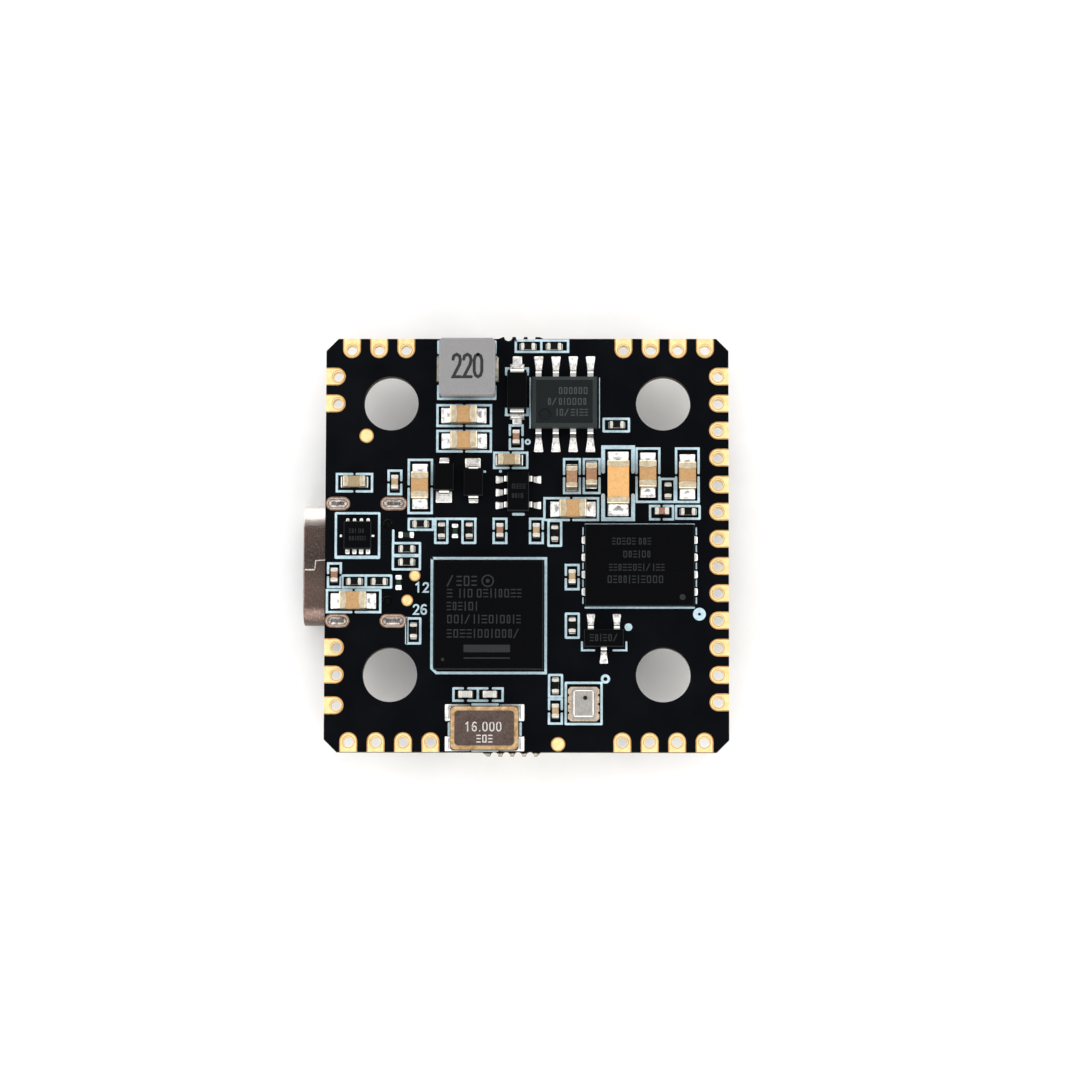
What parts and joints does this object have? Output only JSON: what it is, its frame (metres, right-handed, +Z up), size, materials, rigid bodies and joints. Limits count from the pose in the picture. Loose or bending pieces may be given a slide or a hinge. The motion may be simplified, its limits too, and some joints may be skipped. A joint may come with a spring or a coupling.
{
  "type": "flight controller board",
  "caption": "Populated square circuit board with edge solder pads, four soft-mount holes, a side-facing USB-C socket, wire sockets and a boot button below.",
  "frame": {"origin": "centre of the four mounting holes, on the underside of the bare circuit board", "axes": "+Z up out of the component side, +X to the right of it, -X the side the USB mouth faces, +Y towards the edge with the power inductor"},
  "size_m": [0.0313, 0.0308, 0.0062],
  "materials": {
    "solder_mask": "dark solder mask over glass laminate",
    "gold_plating": "gold flash",
    "tin": "tinned",
    "mould_compound": "black moulded epoxy",
    "ferrite_grey": "pressed iron powder, grey",
    "copper": "bare copper",
    "capacitor_tan": "fired ceramic, tan",
    "capacitor_brown": "fired ceramic, brown",
    "capacitor_pale": "fired ceramic, pale grey",
    "resistor_black": "black glaze over alumina",
    "crystal_ceramic": "dark ceramic",
    "crystal_lid_metal": "plated lid",
    "quartz": "polished quartz",
    "sensor_lid_metal": "satin nickel",
    "sensor_substrate": "gold edged substrate",
    "silicon": "polished silicon",
    "shell_nickel": "nickel plated",
    "black_nylon": "black nylon",
    "cream_nylon": "cream nylon",
    "button_metal": "bright steel",
    "button_white": "white nylon",
    "silkscreen_ink": "pale printed ink",
    "solder": "reflowed solder",
    "part_marking": "laser marking",
    "led_resin": "milky resin"
  },
  "bodies": {
    "board": {"barometer_base": "sensor_substrate", "barometer_die": "silicon", "barometer_lid": "sensor_lid_metal", "boot_button_base": "black_nylon", "boot_button_cover": "button_metal", "boot_button_dome": "button_metal", "buck_regulator_body": "mould_compound", "buck_regulator_leads": "tin", "capacitor_0402_bodies": "capacitor_brown", "capacitor_0402_terminals": "tin", "capacitor_0603_bodies": "capacitor_brown", "capacitor_0603_terminals": "tin", "capacitor_0805_bodies": "capacitor_tan", "capacitor_0805_terminals": "tin", "capacitor_1206_body": "capacitor_tan", "capacitor_1206_terminals": "tin", "circuit_board": "solder_mask", "crystal_base": "crystal_ceramic", "crystal_blank": "quartz", "crystal_lid": "crystal_lid_metal", "crystal_seal_ring": "gold_plating", "display_chip_body": "mould_compound", "display_chip_leads": "tin", "edge_pads": "gold_plating", "flash_memory_body": "mould_compound", "flash_memory_terminals": "tin", "front_socket_housing": "cream_nylon", "front_socket_pins": "tin", "inductor_coil": "copper", "inductor_core": "ferrite_grey", "inductor_terminals": "tin", "linear_regulator_body": "mould_compound", "linear_regulator_leads": "tin", "load_capacitor_bodies": "capacitor_pale", "motion_sensor_body": "mould_compound", "motion_sensor_terminals": "tin", "power_switch_body": "mould_compound", "power_switch_terminals": "tin", "processor_balls": "tin", "processor_body": "mould_compound", "rear_socket_housing": "cream_nylon", "rear_socket_pins": "tin", "rectifier_body": "mould_compound", "rectifier_leads": "tin", "resistor_bodies": "resistor_black", "resistor_terminals": "tin", "signal_diode_bodies": "mould_compound", "signal_diode_leads": "tin", "socket_tabs": "tin", "status_led_bodies": "led_resin", "status_led_terminals": "tin", "test_pads": "gold_plating", "transistor_body": "mould_compound", "transistor_leads": "tin", "usb_contacts": "gold_plating", "usb_insulator": "black_nylon", "usb_shell": "shell_nickel", "usb_slot_rings": "gold_plating", "usb_tongue": "black_nylon"},
    "boot_button": {"boot_button_plunger": "button_white"}
  },
  "joints": [
    {"name": "boot_button_press", "type": "slide", "parent": "board", "child": "boot_button", "axis": [0, 0, 1], "range_m": [0, 0.0002], "stiffness_N_per_m": 8000}
  ]
}
